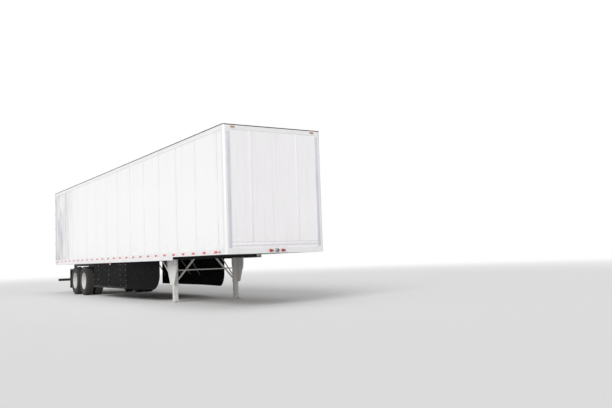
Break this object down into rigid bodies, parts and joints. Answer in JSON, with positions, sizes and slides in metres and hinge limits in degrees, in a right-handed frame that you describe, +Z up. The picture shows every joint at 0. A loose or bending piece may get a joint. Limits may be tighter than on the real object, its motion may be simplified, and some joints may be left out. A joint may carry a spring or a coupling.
{
  "type": "semi trailer",
  "caption": "Closed box semi trailer with swing rear doors, a sliding twin-axle tandem, side skirts and landing gear, carried at its front by a kingpin.",
  "frame": {"origin": "on the ground, at the middle of the length and width of the trailer's box", "axes": "+X forward towards the nose, +Y to the trailer's left, +Z up"},
  "size_m": [16.309, 2.627, 4.11],
  "materials": {
    "white_skin": "smooth prefinished white side skin",
    "white_door": "smooth prefinished white door skin",
    "rail_white": "white painted extruded rail",
    "rail_aluminium": "mill finish extrusion",
    "roof_aluminium": "thin rolled sheet",
    "front_panel": "light grey painted panel",
    "rear_frame_steel": "brushed stainless frame",
    "galvanised": "zinc plated hardware",
    "chassis_black": "black chassis paint, dusty",
    "leg_grey": "light grey paint with rust at the foot",
    "floor_wood": "laminated hardwood, worn",
    "rubber_black": "moulded black rubber",
    "tyre_black": "road tyre, dusty sidewall",
    "wheel_white": "white painted steel disc",
    "hub_iron": "cast hub and drum",
    "spring_steel": "dark spring steel",
    "chamber_black": "black painted pressing",
    "skirt_black": "black composite skirt",
    "bare_steel": "bare machined steel, greased",
    "red_lens": "moulded red lens",
    "amber_lens": "moulded amber lens",
    "coupling_red": "painted cast coupling",
    "socket_grey": "cast socket",
    "tape_red": "red retroreflective tape",
    "tape_silver": "silver retroreflective tape"
  },
  "bodies": {
    "root": {"air_couplings": "coupling_red", "amber_lamps": "amber_lens", "bottom_rails": "rail_white", "coupler_plate": "chassis_black", "cross_members": "chassis_black", "dock_bumpers": "rubber_black", "door_hinge_pins": "galvanised", "door_lock_keepers": "galvanised", "electric_socket": "socket_grey", "floor_boards": "floor_wood", "front_corner_posts": "rail_aluminium", "front_rails": "rail_aluminium", "front_wall": "front_panel", "kingpin": "bare_steel", "leg_braces": "leg_grey", "leg_crank": "leg_grey", "leg_shoes": "leg_grey", "leg_side_plates": "leg_grey", "leg_tubes": "leg_grey", "rear_header": "rear_frame_steel", "rear_posts": "rear_frame_steel", "rear_sill": "rear_frame_steel", "red_lamps": "red_lens", "roof_bows": "roof_aluminium", "roof_sheet": "roof_aluminium", "side_skirts": "skirt_black", "side_wall_left": "white_skin", "side_wall_right": "white_skin", "skirt_struts": "galvanised", "slide_rails": "chassis_black", "top_rails": "rail_white", "underride_guard": "chassis_black"},
    "bogie": {"slider_frame": "chassis_black", "spring_hangers": "chassis_black", "leaf_springs": "spring_steel", "axles": "chassis_black", "equalisers": "chassis_black", "radius_rods": "chassis_black", "brake_chambers": "chamber_black", "air_tank": "chassis_black", "mud_flaps": "rubber_black", "flap_arms": "galvanised"},
    "rear_door_left": {"door_left": "white_door", "door_left_hinges": "galvanised", "door_left_lock_rod": "galvanised"},
    "wheel_end_front_left": {"tyres_front_left": "tyre_black", "wheels_front_left": "wheel_white", "hub_front_left": "hub_iron"},
    "wheel_end_rear_left": {"tyres_rear_left": "tyre_black", "wheels_rear_left": "wheel_white", "hub_rear_left": "hub_iron"},
    "rear_door_right": {"door_right": "white_door", "door_right_hinges": "galvanised", "door_right_lock_rod": "galvanised"},
    "wheel_end_front_right": {"tyres_front_right": "tyre_black", "wheels_front_right": "wheel_white", "hub_front_right": "hub_iron"},
    "wheel_end_rear_right": {"tyres_rear_right": "tyre_black", "wheels_rear_right": "wheel_white", "hub_rear_right": "hub_iron"}
  },
  "joints": [
    {"name": "tandem_slide", "type": "slide", "parent": "root", "child": "bogie", "axis": [1, 0, 0], "range_m": [-1.83, 0.61]},
    {"name": "wheel_front_left_turn", "type": "hinge", "parent": "bogie", "child": "wheel_end_front_left", "pos_m": [-3.8, 0.9775, 0.515], "axis": [0, 1, 0], "continuous": true},
    {"name": "wheel_front_right_turn", "type": "hinge", "parent": "bogie", "child": "wheel_end_front_right", "pos_m": [-3.8, -0.9775, 0.515], "axis": [0, 1, 0], "continuous": true},
    {"name": "wheel_rear_left_turn", "type": "hinge", "parent": "bogie", "child": "wheel_end_rear_left", "pos_m": [-5.045, 0.9775, 0.515], "axis": [0, 1, 0], "continuous": true},
    {"name": "wheel_rear_right_turn", "type": "hinge", "parent": "bogie", "child": "wheel_end_rear_right", "pos_m": [-5.045, -0.9775, 0.515], "axis": [0, 1, 0], "continuous": true},
    {"name": "door_left_swing", "type": "hinge", "parent": "root", "child": "rear_door_left", "pos_m": [-8.1325, 1.2815, 2.63], "axis": [0, 0, -1], "range_deg": [0, 267]},
    {"name": "door_right_swing", "type": "hinge", "parent": "root", "child": "rear_door_right", "pos_m": [-8.1325, -1.2815, 2.63], "axis": [0, 0, 1], "range_deg": [0, 267]}
  ]
}
